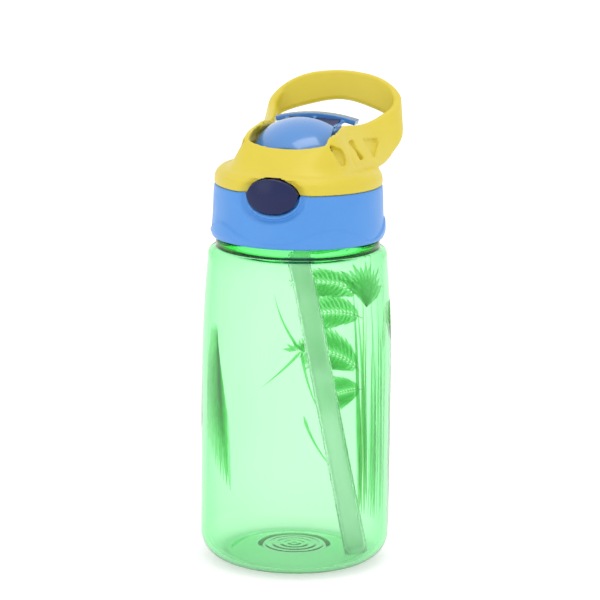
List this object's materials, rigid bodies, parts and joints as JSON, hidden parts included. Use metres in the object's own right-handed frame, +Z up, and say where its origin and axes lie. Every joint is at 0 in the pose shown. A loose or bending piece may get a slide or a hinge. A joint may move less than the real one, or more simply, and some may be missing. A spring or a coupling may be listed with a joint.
{
  "type": "water bottle",
  "caption": "Child's clear drinking bottle with a screw-on lid, a push-button flip cover over a folding spout, a straw and a carry loop.",
  "frame": {"origin": "centre of the base, on the plane of its rest ring", "axes": "+Z up along the bottle's axis, -Y towards the push button, +Y towards the back of the carry loop"},
  "size_m": [0.072, 0.0908, 0.1815],
  "materials": {
    "clear_green": "clear, tinted pale green, glossy",
    "seal_white": "soft silicone",
    "collar_blue": "satin gloss",
    "housing_yellow": "satin",
    "cover_blue": "gloss",
    "steel": "drawn wire",
    "button_navy": "gloss",
    "latch_navy": "matte",
    "spout_white": "gloss",
    "mouthpiece_soft": "soft translucent silicone",
    "straw_frost": "frosted"
  },
  "bodies": {
    "bottle": {"bottle_body": "clear_green"},
    "seal": {"lid_gasket": "seal_white"},
    "lid": {"lid_collar": "collar_blue", "lid_housing": "housing_yellow", "cover_pin": "steel", "cover_spring": "steel", "spout_seat": "seal_white", "spout_spring": "steel", "straw": "straw_frost", "vent_valve": "seal_white", "button_spring": "steel"},
    "cover": {"flip_cover": "cover_blue", "hinge_cap": "button_navy"},
    "spout_unit": {"spout": "spout_white", "mouthpiece": "mouthpiece_soft"},
    "button": {"release_button": "button_navy", "latch_slide": "latch_navy"}
  },
  "joints": [
    {"name": "lid_lift", "type": "slide", "parent": "bottle", "child": "seal", "axis": [0, 0, 1], "range_m": [0, 0.0051]},
    {"name": "lid_turn", "type": "hinge", "parent": "seal", "child": "lid", "pos_m": [0, 0, 0.13], "axis": [0, 0, 1], "range_deg": [0, 450]},
    {"name": "cover_flip", "type": "hinge", "parent": "lid", "child": "cover", "pos_m": [0, 0.015, 0.162], "axis": [-1, 0, 0], "range_deg": [0, 80], "deforming": ["cover_spring"]},
    {"name": "spout_rise", "type": "hinge", "parent": "lid", "child": "spout_unit", "pos_m": [0, 0.002, 0.1534], "axis": [-1, 0, 0], "range_deg": [0, 90.5], "deforming": ["spout_spring"]},
    {"name": "button_press", "type": "slide", "parent": "lid", "child": "button", "axis": [0, 1, 0], "range_m": [0, 0.0015], "stiffness_N_per_m": 300, "deforming": ["button_spring"]}
  ],
  "couplings": [
    {"joint": "lid_lift", "follows": "lid_turn", "m_per_rad": 0.00063662},
    {"joint": "spout_rise", "follows": "cover_flip", "ratio": 1.125}
  ]
}
